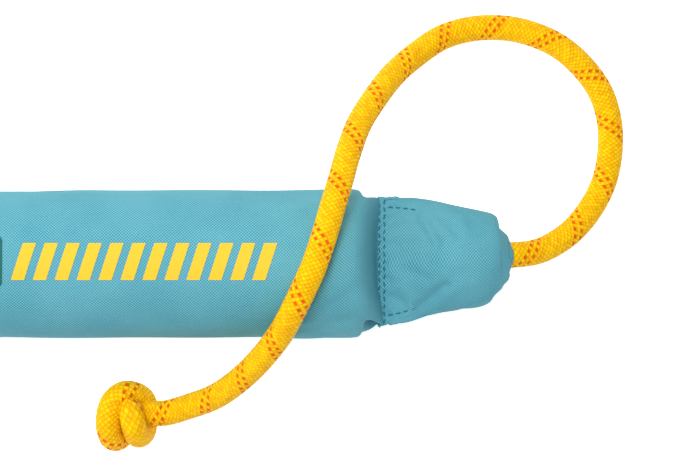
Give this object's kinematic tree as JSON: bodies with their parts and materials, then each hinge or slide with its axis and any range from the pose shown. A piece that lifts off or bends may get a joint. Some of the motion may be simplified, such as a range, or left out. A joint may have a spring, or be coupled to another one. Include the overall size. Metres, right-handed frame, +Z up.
{
  "type": "training bumper",
  "caption": "Soft foam cylinder in a sewn woven cover with flattened closed ends and a rope pocket; a thick braided throwing rope loops from the pocket over the barrel to a stopper knot.",
  "frame": {"origin": "on the surface that the bumper lies on, under the middle of the cover's length and width, without the rope", "axes": "+X along the barrel towards the rope end, +Y towards the rope loop, +Z up"},
  "size_m": [0.3482, 0.19, 0.0743],
  "materials": {
    "cover_fabric": "plain-woven polyester, matt with a slight sheen",
    "thread": "polyester sewing thread",
    "rope": "braided polyamide sheath with orange tracers",
    "rope_core": "bundled polyamide yarns",
    "foam": "closed-cell foam",
    "print": "screen-printed ink on the weave",
    "badge": "screen-printed ink on the weave",
    "badge_border": "screen-printed ink on the weave"
  },
  "bodies": {
    "root": {"foam_core": "foam", "cover": "cover_fabric", "cover_seam": "cover_fabric", "seam_stitches": "thread", "rope_end_stitches": "thread", "far_end_hem": "cover_fabric", "far_end_stitches": "thread", "pocket_top": "cover_fabric", "pocket_bottom": "cover_fabric", "pocket_mouth_hem": "cover_fabric", "pocket_side_stitches": "thread", "inner_knot": "rope", "inner_knot_tail": "rope", "rope_sheath": "rope", "rope_core": "rope_core", "end_knot": "rope", "end_knot_tail": "rope", "print_bars": "print", "badge": "badge", "badge_border": "badge_border"}
  },
  "joints": []
}
